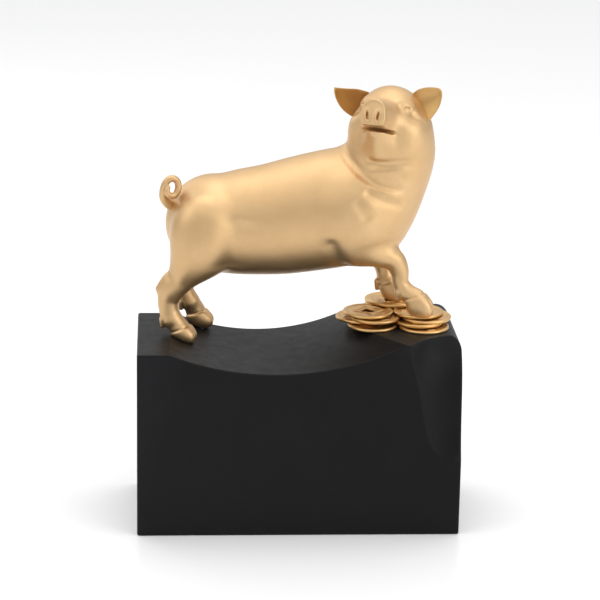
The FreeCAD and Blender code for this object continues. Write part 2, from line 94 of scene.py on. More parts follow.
def hermite(x, xs, ys, flat_ends=False):
    """A smooth curve through (xs, ys), read at x."""
    xs, ys = np.asarray(xs, dtype=F32), np.asarray(ys, dtype=F32)
    slope = np.gradient(ys, xs)
    if flat_ends:
        slope[0] = slope[-1] = 0
    i = np.clip(np.searchsorted(xs, x) - 1, 0, len(xs) - 2)
    w = xs[i + 1] - xs[i]
    t = np.clip((x - xs[i]) / w, 0, 1)
    u = 1 - t
    return (ys[i] * (1 + 2 * t) * u * u + slope[i] * w * t * u * u
            + ys[i + 1] * t * t * (3 - 2 * t) - slope[i + 1] * w * t * t * u)


def smooth_rows(rows, steps):
    """More rows along the smooth curve through the given ones."""
    rows = np.asarray(rows, dtype=F32)
    knots = np.arange(len(rows), dtype=F32)
    at = np.linspace(0, len(rows) - 1, (len(rows) - 1) * steps + 1).astype(F32)
    return np.stack([hermite(at, knots, rows[:, i]) for i in range(rows.shape[1])], axis=1)


def chain(P, rows, steps=5):
    """A round bar of changing radius along the smooth curve through rows of (x, y, z, radius)."""
    field = None
    rows = smooth_rows(rows, steps)
    for p, q in zip(rows, rows[1:]):
        bar = segment(P, p[:3], q[:3], p[3], q[3])
        field = bar if field is None else np.minimum(field, bar)
    return field


def local(P, centres, margin, shape):
    """Works a field out only near the given points, and leaves a large distance elsewhere."""
    centres = np.asarray(centres, dtype=F32)
    inside = np.all((P > centres.min(axis=0) - margin) & (P < centres.max(axis=0) + margin), axis=1)
    field = np.full(len(P), margin, dtype=F32)
    if inside.any():
        field[inside] = shape(P[inside])
    return field


def ellipsoid(P, centre, radii, axes=None):
    """axes: three rows, the directions of the radii."""
    q = P - vec(*centre)
    if axes is not None:
        q = q @ np.asarray(axes, dtype=F32).T
    radii = vec(*radii)
    k0 = np.linalg.norm(q / radii, axis=1)
    k1 = np.linalg.norm(q / (radii * radii), axis=1) + F32(1e-6)
    return k0 * (k0 - 1) / k1


def path_distance(P, points):
    """Distance to a polyline, and how far along it, from 0 to 1, the nearest point is."""
    points = [vec(*p) for p in points]
    best = np.full(len(P), 1e6, dtype=F32)
    where = np.zeros(len(P), dtype=F32)
    count = len(points) - 1
    for i, (a, b) in enumerate(zip(points, points[1:])):
        ab = b - a
        h = np.clip(((P - a) @ ab) / (ab @ ab), 0, 1)
        d = np.linalg.norm(P - a - h[:, None] * ab, axis=1)
        nearer = d < best
        best = np.where(nearer, d, best)
        where = np.where(nearer, (i + h) / count, where)
    return best, where


def groove(P, field, points, width, depth, fade=0.2, steps=3):
    """Cuts a soft groove along a smooth path, shallower towards its ends. A negative depth is a ridge."""
    points = smooth_rows(points, steps)
    near = (np.abs(field) < 8) & np.all((P > points.min(axis=0) - 3 * width)
                                        & (P < points.max(axis=0) + 3 * width), axis=1)
    if not near.any():
        return field
    d, t = path_distance(P[near], points)
    ends = ramp(np.minimum(t, 1 - t), 0, fade)
    out = field.copy()
    out[near] += (depth * np.exp(-(d / width) ** 2) * ends).astype(F32)
    return out


def dent(P, field, centre, width, depth):
    """A soft round hollow. A negative depth is a swelling."""
    near = np.all(np.abs(P - vec(*centre)) < 3 * width, axis=1)
    out = field.copy()
    d = np.linalg.norm(P[near] - vec(*centre), axis=1)
    out[near] += (depth * np.exp(-(d / width) ** 2)).astype(F32)
    return out


# ---------------------------------------------------------------- the pig's form
TORSO_X = (-42, -30, -18, -6, 6, 18, 30)
TORSO_Z = (150.1, 151.0, 152.3, 154.3, 156.6, 158.8, 160.0)
TORSO_HIGH = (25.3, 26.9, 28.2, 29.7, 30.5, 30.8, 30.3)
TORSO_HALF = (23.4, 24.2, 24.8, 25.4, 26.0, 26.4, 26.0)
RUMP_REACH, CHEST_REACH = 25.2, 26.4
NECK = [
    (36, 9, 160, 20.0), (41.6, 8.5, 170, 21.4), (45.0, 7.5, 181, 21.8), (47.0, 6.5, 190, 21.2),
    (47.0, 5.5, 197, 19.5),
]


def mid(x):
    """The Y of the pig's middle plane, which stands a little askew on the plinth."""
    return 10.5 - 0.055 * x


SKULL = vec(45.8, 5.0, 204.8)
FORE = unit((-0.39, -0.86, 0.33))
SIDE = unit(np.cross((0, 0, 1), FORE))
RISE = np.cross(FORE, SIDE)
FACE_AXES = np.stack([FORE, SIDE, RISE])


def torso(P):
    """The trunk: elliptical sections along a straight back, closed by a round rump and chest."""
    x0, x1 = TORSO_X[0], TORSO_X[-1]
    x = np.clip(P[:, 0], x0, x1)
    centre, high, half = (hermite(x, TORSO_X, row, True) for row in (TORSO_Z, TORSO_HIGH, TORSO_HALF))
    dx = P[:, 0] - x
    reach = np.where(dx < 0, RUMP_REACH, CHEST_REACH)
    dy, dz = P[:, 1] - mid(P[:, 0]), P[:, 2] - centre
    q = np.sqrt((dx / reach) ** 2 + (dy / half) ** 2 + (dz / high) ** 2)
    return (q - 1) * np.minimum(high, half)


# the head's masses: centre and radii as (fore, side, rise); jowls and cheeks are on both sides
SKULL_MASS = ((0, 0, 0), (16.0, 18.0, 15.4))
CROWN_MASS = ((4, 0, 4.5), (12.5, 13.0, 12.0))
JOWL_MASS = ((1, 9.5, -8), (13, 10.8, 11.5))
CHEEK_MASS = ((6.5, 9.5, -4.5), (8.5, 7.6, 7.6))
TEMPLE = (4.0, 16.0, 6.5)
# the rooting disc: its front, half width and half height, then how it is dropped, tilted and dished
SNOUT_FACE, SNOUT_WIDE, SNOUT_HIGH = 31.2, 6.4, 7.5
SNOUT_DROP, SNOUT_TILT, SNOUT_HALF_THICK, SNOUT_RIM, SNOUT_DISH = 1.0, 0.06, 1.6, 0.5, 0.32
SNOUT_POWER, SNOUT_TAPER = 2.5, 0.012
NOSTRIL_SIDE, NOSTRIL_LEAN = 2.75, 0.12
NOSTRIL_WING, NOSTRIL_HOLE = (1.1, 1.5, 3.2), (2.6, 0.55, 2.7)
SNOUT_CREASE = [(28.4, 4.5, 6.4), (28.4, 6.9, 2.0), (28.4, 6.9, -3)]
CORNER_CREASE = [(13, 10.2, -7.0), (10, 11.6, -8.4), (8, 12.6, -10.5)]
# wrinkles across the top of the snout: how far forward, and how deep
WRINKLES = ((28.2, 0.5), (25.4, 0.3), (22.4, 0.2))
EYE = (13.2, 11.3, 5.1)
EYE_OUT = unit((0.642, 0.717, 0.271))
EYE_EAR = unit(np.cross((0, 0, 1), EYE_OUT))
EYE_AXES = np.stack([EYE_OUT, EYE_EAR, np.cross(EYE_OUT, EYE_EAR)])
# points round the eye: outwards, towards the ear, upwards
UPPER_LID = [(0.2, -2.3, -0.4), (0.5, -1.4, 0.9), (0.6, 0.1, 1.5), (0.4, 1.7, 0.9), (0.0, 2.9, -0.2)]
LID_SLIT = [(0.1, -2.1, -0.3), (0.4, -1.0, 0.4), (0.5, 0.3, 0.7), (0.2, 1.8, 0.2)]
BROW = [(0.4, -6.4, 1.7), (0.6, -2.0, 3.9), (0.3, 2.4, 2.9), (-0.8, 5.6, 1.2)]
CHEEK_FOLD = [(0.1, 2.2, -0.9), (-0.2, 4.6, -3.5), (-1.2, 8.2, -5.0), (-2.2, 11.0, -5.6)]
# the muzzle's and the jaw's sections: how far forward, half the width, top and bottom
MUZZLE = [(2, 14.0, 12.5, -10.5), (10, 12.2, 9.8, -9.0), (17, 9.9, 7.6, -8.4), (24, 7.6, 6.6, -8.2),
          (31, 6.3, 6.5, -8.0)]
JAW = [(2, 12.0, -4.0, -24.0), (10, 9.6, -5.0, -22.5), (17, 7.2, -6.0, -20.5), (23, 5.4, -6.6, -17.0),
       (27, 4.4, -7.0, -14.0)]
MUZZLE_POWER, MUZZLE_FRONT, MUZZLE_ROUNDING = 2.6, 30.5, 1.5
# the chin's front slopes back as it goes down, with a keel along its middle
CHIN_FORE, CHIN_SLOPE, CHIN_RISE = 25.8, 0.76, -7
CHIN_KEEL = [(25.0, 0, -8.6), (22.0, 0, -11.6), (18.6, 0, -15.4), (15.4, 0, -19.4), (13.0, 0, -22.6)]


def by_eye(points, side):
    """Points round the right eye as points of the face, or round the left one for a side of -1."""
    made = []
    for point in points:
        f, s, r = vec(*EYE) + vec(*point) @ EYE_AXES
        made.append((f, s * side, r))
    return made


def on_side(points, side):
    """The same points of the face on its right, or on its left for a side of -1."""
    return [(f, s * side, r) for f, s, r in points]


def prism(q, rows, power, front, rounding):
    """A bar along the face's fore direction with rounded-square sections, from its first row to front."""
    rows = np.asarray(rows, dtype=F32)
    wide, top, bottom = (hermite(q[:, 0], rows[:, 0], rows[:, i]) for i in (1, 2, 3))
    centre, high = (top + bottom) / 2, (top - bottom) / 2
    rho = (np.abs(q[:, 1] / wide) ** power + np.abs((q[:, 2] - centre) / high) ** power) ** (1 / power)
    bar = smax((rho - 1) * np.minimum(wide, high), rows[0, 0] - q[:, 0], 3)
    return smax(bar, q[:, 0] - front, rounding)


def muzzle(q):
    """The snout's bar, from the cheeks to the rooting disc."""
    return prism(q, MUZZLE, MUZZLE_POWER, MUZZLE_FRONT, MUZZLE_ROUNDING)


def head_form(q):
    """The head in its own directions: fore, side, rise."""
    side = np.abs(q[:, 1])
    m = np.stack([q[:, 0], side, q[:, 2]], axis=1)
    skull = smin(ellipsoid(q, *SKULL_MASS), ellipsoid(q, *CROWN_MASS), 6)
    form = smin(smin(skull, ellipsoid(m, *JOWL_MASS), 8), ellipsoid(m, *CHEEK_MASS), 5)
    form = smin(form, muzzle(q), 5)
    chin_front = CHIN_FORE + CHIN_SLOPE * (q[:, 2] - CHIN_RISE)
    form = smin(form, prism(q, JAW, 2.0, chin_front, 6.0), 5)
    form = groove(q, form, CHIN_KEEL, 2.6, -1.5)
    for eye in (1, -1):
        form = dent(q, form, by_eye([(-0.5, 2.6, -3.6)], eye)[0], 3.4, 1.2)
        form = dent(q, form, by_eye([(0.0, -3.9, -0.8)], eye)[0], 2.8, 0.9)
        form = dent(q, form, on_side([TEMPLE], eye)[0], 4.8, 1.6)
    return form


def snout_disc(q, form):
    """The flat rooting disc at the end of the snout, with its rim and its nostrils."""
    f, s, r = q[:, 0], q[:, 1], q[:, 2] + SNOUT_DROP
    wide = SNOUT_WIDE * (1 - SNOUT_TAPER * r)
    radius = (np.abs(s / wide) ** SNOUT_POWER + np.abs(r / SNOUT_HIGH) ** SNOUT_POWER) ** (1 / SNOUT_POWER)
    radius = radius * SNOUT_WIDE
    ahead = f - SNOUT_TILT * r
    slab = np.abs(ahead - SNOUT_FACE + SNOUT_HALF_THICK) - SNOUT_HALF_THICK
    form = smin(form, smax(radius - SNOUT_WIDE, slab, 0.7), 0.5)
    inside_rim = ramp(SNOUT_WIDE - SNOUT_RIM - radius, 0, 1.0)
    form = form + SNOUT_DISH * inside_rim * ramp(ahead, SNOUT_FACE - 2.2, SNOUT_FACE - 1.2)
    lean = np.stack([f, np.abs(s) - NOSTRIL_LEAN * (r + 1.0), r], axis=1)
    form = smin(form, ellipsoid(lean, (SNOUT_FACE - 0.5, NOSTRIL_SIDE, -0.9), NOSTRIL_WING), 0.8)
    return smax(form, -ellipsoid(lean, (SNOUT_FACE + 0.4, NOSTRIL_SIDE, -1.1), NOSTRIL_HOLE), 0.5)


# the mouth: how far back and sideways it goes, how high it is, and how deep inside the muzzle it ends
MOUTH_BACK, MOUTH_SIDE, MOUTH_RISE, CORE_INSET = 15.6, 9.6, -8.2, 1.9
# lips: how far above the mouth's line, width and depth
LIPS = ((-1.6, 0.9, -0.35), (1.5, 0.8, -0.25))


def mouth(q, form):
    """The parted lips: a thin gap across the muzzle, shut at its corners, with a core left inside."""
    f, s, r = q[:, 0], np.abs(q[:, 1]), q[:, 2]
    half = 0.10 + 0.65 * ramp(f, MOUTH_BACK, 19) + 0.30 * ramp(f, 22, 28)
    line = MOUTH_RISE + 0.05 * (f - 20) + 0.35 * ramp(s, 3, 8)
    gap = np.maximum(np.abs(r - line) - half, np.maximum(MOUTH_BACK - f, s - MOUTH_SIDE))
    core = np.maximum(muzzle(q) + CORE_INSET, f - 24.5)
    core = np.maximum(core, MOUTH_RISE - 3 - r)
    form = smin(smax(form, -gap, 0.5), core, 0.3)
    for rise, width, depth in LIPS:
        level = MOUTH_RISE + rise
        ridge = [(MOUTH_BACK + 2, 9.4, level), (19, 8.0, level), (24.5, 5.4, level), (26.8, 0, level)]
        form = groove(q, form, ridge + on_side(reversed(ridge[:-1]), -1), width, depth, 0.1)
    return form


def head(P):
    """The finished head: its form, then the snout, mouth, eyes, folds and wrinkles."""
    q = (P - SKULL) @ FACE_AXES.T
    form = mouth(q, snout_disc(q, head_form(q)))
    for side in (1, -1):
        form = smin(form, ellipsoid(q, by_eye([(-0.3, 0.1, -0.1)], side)[0], (1.5, 1.6, 1.4)), 0.3)
        form = groove(q, form, by_eye(UPPER_LID, side), 0.8, -0.8, 0.12)
        form = groove(q, form, by_eye(LID_SLIT, side), 0.6, 1.5, 0.1)
        form = groove(q, form, by_eye(BROW, side), 2.6, -0.5)
        form = groove(q, form, by_eye(CHEEK_FOLD, side), 1.5, 0.8)
        form = groove(q, form, on_side(SNOUT_CREASE, side), 0.8, 0.5)
        form = groove(q, form, on_side(CORNER_CREASE, side), 1.5, 0.6)
    for fore, depth in WRINKLES:
        top = 6.6 + (WRINKLES[0][0] - fore) * 0.15
        form = groove(q, form, [(fore, -4.5, top - 1), (fore, 0, top), (fore, 4.5, top - 1)], 0.8, depth)
    return form


LEG_ROWS = {
    "hind_leg_right": [(-45, 4, 150, 14.5), (-49.5, 0, 141, 12.4), (-54.5, -1, 132, 10.0),
                       (-58.9, -0.4, 125.0, 7.6), (-63.6, 0.4, 119.2, 6.7), (-65.7, 1.0, 113.5, 5.5),
                       (-65.4, 0.8, 107.5, 5.1), (-63.9, 0.2, 103.0, 5.1)],
    "hind_leg_left": [(-45, 23, 150, 14), (-48, 26.5, 140, 11.8), (-52.0, 28, 130.5, 9.2),
                      (-57.0, 28.3, 121.8, 6.9), (-59.4, 28.5, 115.5, 5.6), (-57.6, 28.6, 109.8, 5.1),
                      (-54.6, 28.4, 104.4, 4.9)],
    "front_leg_right": [(18, -1, 150, 12), (28, -4.0, 142.8, 9.2), (38.5, -5.5, 139.0, 6.8),
                        (46.8, -4.8, 136.2, 5.9), (50.6, -4.4, 130.5, 4.9), (51.6, -4.2, 123.6, 4.2),
                        (54.4, -4.6, 118.6, 4.6)],
    "front_leg_left": [(30, 22, 147, 10.5), (38.5, 23.0, 138, 7.8), (44.0, 22.5, 129, 5.6),
                       (46.0, 21.6, 122.4, 4.6), (46.6, 20.4, 117.2, 4.7)],
}
HOOVES = {
    # centre, heading in plan, pitch in degrees, half its length and half its height, crown: distance
    # above the centre of the line where the hoof meets the skin, and that line's pitch
    "hind_leg_right": ((-57.9, -0.7, 95.9), (1.0, -0.26), -30, 6.4, 4.3, 2.9, -66),
    "hind_leg_left": ((-49.3, 30.1, 95.2), (1.0, -0.10), -24, 7.2, 4.5, 3.7, -74),
    "front_leg_right": ((61.6, -6.4, 111.9), (1.0, -0.30), -46, 7.4, 5.6, 5.6, -70),
    "front_leg_left": ((50.4, 18.7, 112.8), (1.0, -0.40), -44, 6.8, 5.2, 5.2, -68),
}


# a foot's two claws: half the distance between them, half width and how they spread
CLAW_SIDE, CLAW_HALF, CLAW_SPREAD = 2.35, 3.35, 0.12
DEWCLAW_SIDE, DEWCLAW_LONG = 2.5, 3.4
FOOT_ROUNDING = 0.35


def pitched(ahead, degrees):
    """A level direction turned up by some degrees."""
    angle = math.radians(degrees)
    return unit(ahead * math.cos(angle) + vec(0, 0, 1) * math.sin(angle))


def foot(P, leg, ground):
    """Fetlock, two dewclaws, pastern and a cloven hoof, cut flat where it stands. ground: point, normal."""
    centre, heading, pitch, long, high, crown, crown_pitch = HOOVES[leg]
    centre, ahead = vec(*centre), unit((*heading, 0))
    aside = vec(-ahead[1], ahead[0], 0)
    slope, ring = pitched(ahead, pitch), pitched(ahead, crown_pitch)
    last = LEG_ROWS[leg][-1]
    top = centre - ring * (crown - 1.2) - ahead * 0.3
    pastern = segment(P, last[:3], top, last[3], 4.6)
    claws = None
    for sign in (-1, 1):
        toe = unit(slope + aside * (CLAW_SPREAD * sign))
        axes = np.stack([toe, aside, np.cross(toe, aside)])
        claw = ellipsoid(P, centre + aside * (CLAW_SIDE * sign), (long, CLAW_HALF, high), axes)
        claws = claw if claws is None else smin(claws, claw, 0.5)
    field = smin(pastern, claws, 2.0)
    line = (P - centre) @ ring + crown
    field = field - 0.30 * ramp(line, 0.0, 0.4) + 0.50 * np.exp(-(line / 0.42) ** 2).astype(F32)
    for sign in (-1, 1):
        root = vec(*last[:3]) - ahead * (last[3] - 0.9) + aside * (DEWCLAW_SIDE * sign)
        tip = root + vec(0, 0, -DEWCLAW_LONG) - ahead * 0.3
        claw = segment(P, root + vec(0, 0, 0.3), tip, 1.9, 1.15)
        field = smin(field, claw, 0.5)
    point, normal = ground
    return smax(field, (vec(*point) - P) @ vec(*normal), FOOT_ROUNDING)


NECK_CREASE = [  # between the neck and the shoulders
    (21.8, 10, 193.0), (22.0, 1, 191.0), (23.0, -3, 188.6), (25.8, -8, 185.4), (29.4, -11.8, 182.2),
    (36.4, -15.0, 177.8), (45.4, -15.0, 175.2), (53.6, -12.8, 172.8),
]
THROAT_FOLD = [  # below it, across the throat
    (30.0, -15.8, 174.8), (34.4, -16.8, 172.2), (38.5, -16.8, 170.2), (45.5, -14.8, 167.2),
    (52.7, -11.4, 164.9),
]
SHOULDER_FOLD = [  # on the shoulder
    (26.3, -17.7, 170.5), (28.5, -18.6, 166.7), (31.3, -19.1, 162.7), (33.5, -19.2, 158.0),
]
CHIN_FOLD = [  # under the chin
    (31.0, -10.0, 188.0), (36.0, -12.6, 186.9), (41.0, -14.2, 186.8), (47.2, -14.8, 187.4),
    (57.4, -12.5, 188.6),
]
UNDER_CHIN_FOLD = [  # between the chin and the neck
    (34.0, -13.4, 182.0), (40.0, -14.9, 180.6), (47.0, -15.0, 180.2), (54.0, -13.4, 180.6),
]
FOLDS = [
    # path, width, depth, then how far above it the skin swells and by how much
    (NECK_CREASE, 2.3, 2.0, 6.0, -0.4),
    (THROAT_FOLD, 2.6, 0.9, 4.0, -0.4),
    (SHOULDER_FOLD, 3.0, 0.6, 4.0, -0.1),
    (CHIN_FOLD, 2.7, 1.1, 4.0, -0.5),
    (UNDER_CHIN_FOLD, 2.4, 0.6, 3.4, -0.3),
]
# long soft hollows behind the shoulder and before the thigh: path, width and depth
HOLLOWS = [
    ([(14, -14, 152), (17.5, -13, 142), (20.5, -10, 134), (22, -6, 129)], 4.5, 1.5),
    ([(-28, -13, 160), (-31, -13, 148), (-34, -11, 137), (-37, -8, 128)], 8.0, 1.3),
]
THIGH, THIGH_ZONE = ((-49, -4.5, 147), (15, 10, 20)), [(-49, -6, 146)]
SHOULDER, SHOULDER_ZONE = ((25, -6.5, 157), (14, 12, 21)), [(24, -8, 157)]
HOCK, HOCK_ZONE = ((-65.5, 0.6, 122.5), (-70.4, 0.8, 118.8), 3.6, 1.7), [(-70, 1, 120)]


def creases(P, body):
    """Skin folds: each is a groove with the skin swelling on its upper side."""
    for points, width, depth, lift, swell in FOLDS:
        body = groove(P, body, points, width, depth)
        body = groove(P, body, [(x, y, z + lift) for x, y, z in points], lift, swell)
    return body


def pig_field(P, grounds):
    """The whole pig but its ears and tail. grounds: under each foot, a point and a normal."""
    body = smin(torso(P), local(P, [r[:3] for r in NECK], 34, lambda Q: chain(Q, NECK)), 9)
    body = smin(body, local(P, [tuple(SKULL), tuple(SKULL + FORE * 27)], 32, head), 4)
    body = smin(body, local(P, THIGH_ZONE, 30, lambda Q: ellipsoid(Q, *THIGH)), 8)
    body = smin(body, local(P, SHOULDER_ZONE, 34, lambda Q: ellipsoid(Q, *SHOULDER)), 8)
    for leg, rows in LEG_ROWS.items():
        points = [r[:3] for r in rows]
        fillet = 7 if leg.startswith("hind") else 4
        body = smin(body, local(P, points, 22, lambda Q: chain(Q, rows)), fillet)
    body = smin(body, local(P, HOCK_ZONE, 12, lambda Q: segment(Q, *HOCK)), 3)
    for leg, rows in LEG_ROWS.items():
        centre = HOOVES[leg][0]
        feet = local(P, [centre, rows[-1][:3]], 13, lambda Q: foot(Q, leg, grounds[leg]))
        body = smin(body, feet, 0.8)
        point, normal = grounds[leg]
        sole = local(P, [centre], 12, lambda Q: (Q - vec(*point)) @ vec(*normal))
        body = np.where(sole < 12, np.maximum(body, -sole), body)
    for points, width, depth in HOLLOWS:
        body = groove(P, body, points, width, depth)
    return creases(P, body)


# ---------------------------------------------------------------- from a field to a mesh
def finer(values, factor, axis):
    """Linear steps between the values along an axis."""
    values = np.moveaxis(values, axis, 0)
    parts = [values[:-1] * (1 - k / factor) + values[1:] * (k / factor) for k in range(factor)]
    rows = np.stack(parts, axis=1).reshape(-1, *values.shape[1:])
    return np.moveaxis(np.concatenate([rows, values[-1:]]), 0, axis)


def grid_points(low, counts, step):
    axes = [low[i] + step * np.arange(counts[i], dtype=F32) for i in range(3)]
    return np.stack(np.meshgrid(*axes, indexing="ij"), axis=-1).astype(F32)


def sampled(shape, low, high, step, coarse=4):
    """A field on a grid between two corners: a rough pass finds the surface, a fine one follows it."""
    low = np.asarray(low, dtype=F32)
    cells = np.ceil((np.asarray(high) - low) / (step * coarse)).astype(int)
    rough_points = grid_points(low, cells + 1, step * coarse)
    values = shape(rough_points.reshape(-1, 3)).reshape(rough_points.shape[:3])
    for axis in range(3):
        values = finer(values, coarse, axis)
    values = np.ascontiguousarray(values, dtype=F32)
    points = grid_points(low, np.array(values.shape), step)
    near = np.abs(values) < step * coarse * 1.4
    values[near] = shape(points[near])
    return values


def softened(values, passes):
    """The field with its finest steps smoothed away."""
    for _ in range(passes):
        for axis in range(3):
            v = np.moveaxis(values, axis, 0)
            v[1:-1] = v[:-2] * 0.25 + v[1:-1] * 0.5 + v[2:] * 0.25
    return values


def mesh_object(name, points, faces):
    """A smooth-shaded object from points in millimetres, whose faces all look outwards."""
    mesh = bpy.data.meshes.new(name)
    mesh.from_pydata((np.asarray(points, dtype=float) * MM).tolist(), [], [list(f) for f in faces])
    shaped = bmesh.new()
    shaped.from_mesh(mesh)
    if shaped.calc_volume(signed=True) < 0:
        bmesh.ops.reverse_faces(shaped, faces=shaped.faces)
    shaped.to_mesh(mesh)
    shaped.free()
    mesh.polygons.foreach_set("use_smooth", [True] * len(mesh.polygons))
    made = bpy.data.objects.new(name, mesh)
    bpy.context.scene.collection.objects.link(made)
    return made


def cast(name, shape, zone, low, high, step, passes=1):
    """Meshes the closed solid where a field is negative, inside a zone that is negative too."""
    values = softened(sampled(shape, low, high, step), passes)
    if zone:
        points = grid_points(np.asarray(low, dtype=F32), np.array(values.shape), step)
        solid = values < step * 2
        values[solid] = np.maximum(values[solid], zone(points[solid]))
    grid = openvdb.FloatGrid(5.0)
    grid.copyFromArray(values)
    points, triangles, quads = grid.convertToPolygons(isovalue=0.0, adaptivity=0.0)
    points = np.asarray(points) * step + np.asarray(low)
    return mesh_object(name, points, [*triangles.tolist(), *quads.tolist()])


# ---------------------------------------------------------------- materials
def nodes_of(name):
    material = bpy.data.materials.new(name)
    material.use_nodes = True
    tree = material.node_tree
    return material, tree, tree.nodes["Principled BSDF"]


def noise(tree, scale, detail=4.0, roughness=0.6):
    """Noise in the object's own metres: scale is in cells per metre."""
    where = tree.nodes.new("ShaderNodeTexCoord")
    made = tree.nodes.new("ShaderNodeTexNoise")
    made.inputs["Scale"].default_value = scale
    made.inputs["Detail"].default_value = detail
    made.inputs["Roughness"].default_value = roughness
    tree.links.new(where.outputs["Object"], made.inputs["Vector"])
    return made.outputs["Fac"]


def shades(tree, factor, stops):
    """A colour or grey ramp: stops are (position, value), a value being one number or three."""
    made = tree.nodes.new("ShaderNodeValToRGB")
    elements = made.color_ramp.elements
    while len(elements) < len(stops):
        elements.new(0.5)
    for element, (position, value) in zip(elements, stops):
        element.position = position
        element.color = (*value, 1.0) if isinstance(value, tuple) else (value, value, value, 1.0)
    tree.links.new(factor, made.inputs["Fac"])
    return made.outputs["Color"]


def multiply(tree, a, b, amount=1.0):
    made = tree.nodes.new("ShaderNodeMix")
    made.data_type = "RGBA"
    made.blend_type = "MULTIPLY"
    made.inputs["Factor"].default_value = amount
    tree.links.new(a, made.inputs[6])
    tree.links.new(b, made.inputs[7])
    return made.outputs[2]


def bump(tree, shader, height, distance, strength):
    made = tree.nodes.new("ShaderNodeBump")
    made.inputs["Strength"].default_value = strength
    made.inputs["Distance"].default_value = distance
    tree.links.new(height, made.inputs["Height"])
    tree.links.new(made.outputs["Normal"], shader.inputs["Normal"])


def pointiness(tree):
    return tree.nodes.new("ShaderNodeNewGeometry").outputs["Pointiness"]


def gilt(name, light, deep, rough, grain):
    """Satin gold paint in soft patches, with painted shade that darkens it in hollows, and a fine powdery
    grain.
    """
    material, tree, shader = nodes_of(name)
    patches = shades(tree, noise(tree, 60.0, 3.0), [(0.3, deep), (0.7, light)])
    # painted shade: the gold is darkened where the surface is hollow, standing in for shade in creases and
    # recesses
    hollows = shades(tree, pointiness(tree), [(0.40, (0.62, 0.50, 0.38)), (0.49, (1.0, 1.0, 1.0))])
    tree.links.new(multiply(tree, patches, hollows), shader.inputs["Base Color"])
    tree.links.new(shades(tree, noise(tree, 900.0), [(0.3, rough - 0.04), (0.7, rough + 0.05)]),
                   shader.inputs["Roughness"])
    shader.inputs["Metallic"].default_value = 1.0
    shader.inputs["Coat Weight"].default_value = 0.25
    shader.inputs["Coat Roughness"].default_value = 0.35
    bump(tree, shader, noise(tree, 5200.0, 2.0), 0.00004, grain)
    return material


def satin_black(name, tone, rough, grain, scale):
    """Black enamel over cast iron: fine orange peel, faint patches, and a painted highlight that lightens its
    sharp edges.
    """
    material, tree, shader = nodes_of(name)
    dark = tuple(c * 0.8 for c in tone)
    patches = shades(tree, noise(tree, 35.0), [(0.3, dark), (0.7, tone)])
    # painted highlight: the black is lightened on sharp, convex edges, standing in for light caught by
    # rounded edges
    edges = shades(tree, pointiness(tree), [(0.50, (1.0, 1.0, 1.0)), (0.62, (2.2, 2.2, 2.2))])
    tree.links.new(multiply(tree, patches, edges), shader.inputs["Base Color"])
    tree.links.new(shades(tree, noise(tree, 180.0), [(0.3, rough - 0.04), (0.7, rough + 0.05)]),
                   shader.inputs["Roughness"])
    shader.inputs["Specular IOR Level"].default_value = 0.14
    bump(tree, shader, noise(tree, scale, 3.0), 0.00006, grain)
    return material


def zinc_steel(name):
    """Bright zinc plate with a cloudy spangle."""
    material, tree, shader = nodes_of(name)
    tree.links.new(shades(tree, noise(tree, 700.0), [(0.3, (0.45, 0.45, 0.44)), (0.7, (0.66, 0.66, 0.65))]),
                   shader.inputs["Base Color"])
    tree.links.new(shades(tree, noise(tree, 1500.0), [(0.3, 0.25), (0.7, 0.42)]), shader.inputs["Roughness"])
    shader.inputs["Metallic"].default_value = 1.0
    bump(tree, shader, noise(tree, 4000.0), 0.00003, 0.2)
    return material


PIG_GILT = gilt("pig_gilt", (0.695, 0.472, 0.245), (0.64, 0.424, 0.208), 0.48, 0.30)
# the ears' gilt: a darker, more orange copy of the pig's gilt, painted shade for the insides of the cupped
# ears
EAR_PAINTED_SHADE_GILT = gilt("ear_gilt_painted_shade", (0.62, 0.385, 0.15), (0.55, 0.335, 0.125), 0.46, 0.30)
COIN_GILT = gilt("coin_gilt", (0.74, 0.48, 0.20), (0.66, 0.41, 0.16), 0.38, 0.35)
BLACK = satin_black("plinth_black", (0.0046, 0.0046, 0.0052), 0.42, 0.22, 2600.0)
PLATE = satin_black("plate_black", (0.026, 0.026, 0.027), 0.55, 0.35, 1400.0)
COVER = satin_black("cover_black", (0.035, 0.035, 0.036), 0.45, 0.25, 1900.0)
STEEL = zinc_steel("zinc_steel")

CAD_FINISHES = {
    "plinth": BLACK, "base_plate": PLATE, "trap_cover": COVER, "plate_screws": STEEL, "pivot_screw": STEEL,
    "pivot_washer": STEEL, "pivot_nut": STEEL, "stop_pins": STEEL, "hoof_studs": STEEL,
    "hoof_washers": STEEL, "hoof_nuts": STEEL,
}
for node_name, material in CAD_FINISHES.items():
    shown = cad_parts[node_name]
    shown.data.materials.clear()
    shown.data.materials.append(material)


def finished(piece, node, material):
    """Gives a piece its material, and lets it stand for its CAD node on the bank."""
    piece.data.materials.append(material)
    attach(piece, BANK)
    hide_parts(node)
    return piece


# ---------------------------------------------------------------- what the feet stand on
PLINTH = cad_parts["plinth"].data
PLINTH_TREE = BVHTree.FromPolygons([v.co for v in PLINTH.vertices], [p.vertices[:] for p in PLINTH.polygons])
# a start for the rays, in metres, above all of the plinth
RAY_HEIGHT = 0.15


def ground_under(x, y, reach=3.0):
    """The plinth's top under a point, as a point and an upward normal, from three rays."""
    hits = []
    for dx, dy in ((reach, 0), (-reach / 2, reach), (-reach / 2, -reach)):
        start = Vector(((x + dx) * MM, (y + dy) * MM, RAY_HEIGHT))
        hit = PLINTH_TREE.ray_cast(start, Vector((0, 0, -1)))[0]
        hits.append(vec(*hit) / MM)
    normal = unit(np.cross(hits[1] - hits[0], hits[2] - hits[0]))
    return tuple(sum(hits) / 3), tuple(normal if normal[2] > 0 else -normal)


